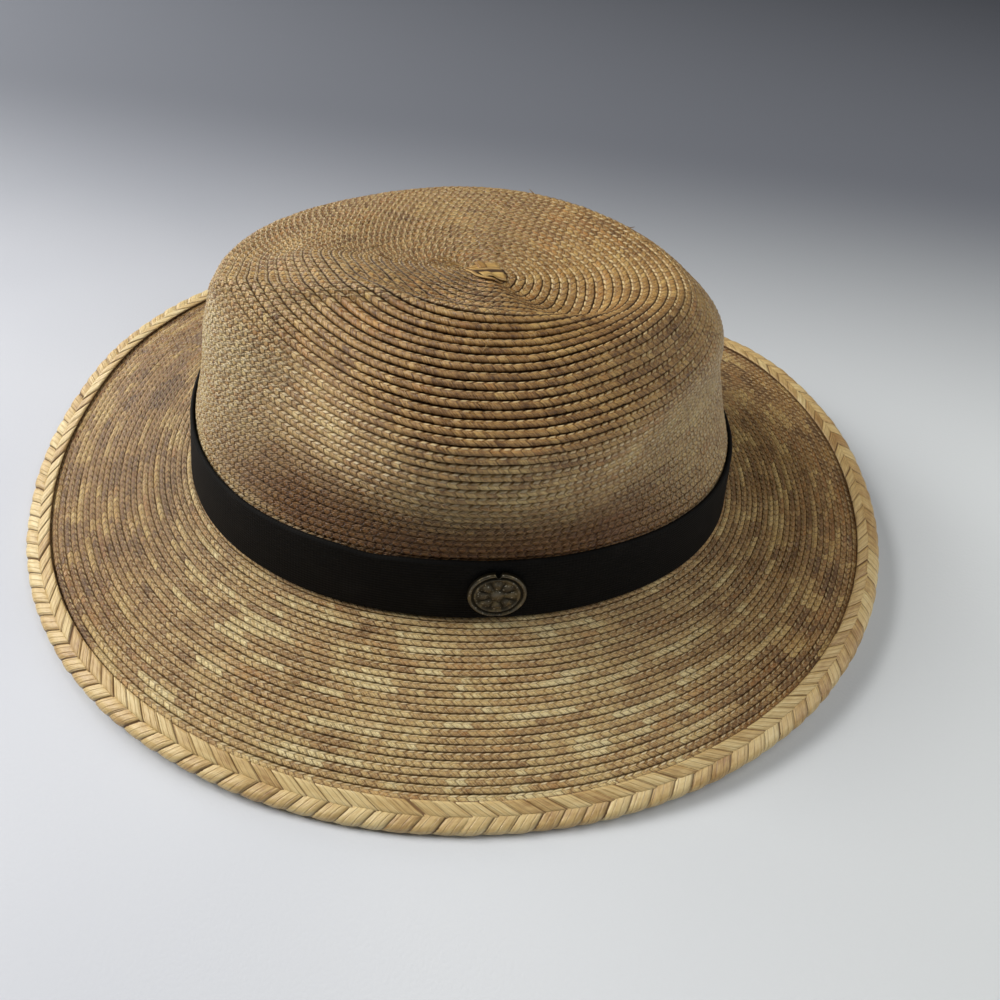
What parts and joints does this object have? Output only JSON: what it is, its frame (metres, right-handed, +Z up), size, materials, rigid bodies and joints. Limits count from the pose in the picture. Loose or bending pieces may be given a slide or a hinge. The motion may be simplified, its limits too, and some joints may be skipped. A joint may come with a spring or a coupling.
{
  "type": "straw hat",
  "caption": "Palm-leaf hat of sewn braid: low crown with a dished top, down-sloping brim with a plaited edge, black elastic band and a metal medallion.",
  "frame": {"origin": "middle of the hat's bounding box, at the level of the table it stands on", "axes": "+X along the crown's length, towards the right of the side that carries the medallion; +Y away from that side; +Z up"},
  "size_m": [0.327, 0.2848, 0.1103],
  "materials": {
    "straw": "sewn braid of dried palm leaf, tan with brown and pale strands, satin where the strands lie flat",
    "pale_straw": "plait of wide pale cream palm strips, lightly glossy over the fold",
    "elastic": "black woven elastic with a fine rib, matt",
    "aged_metal": "cast metal, darkened in the hollows and rubbed bright on the raised parts"
  },
  "bodies": {
    "root": {"straw_body": "straw", "edge_braid": "pale_straw", "hat_band": "elastic", "medallion": "aged_metal"}
  },
  "joints": []
}
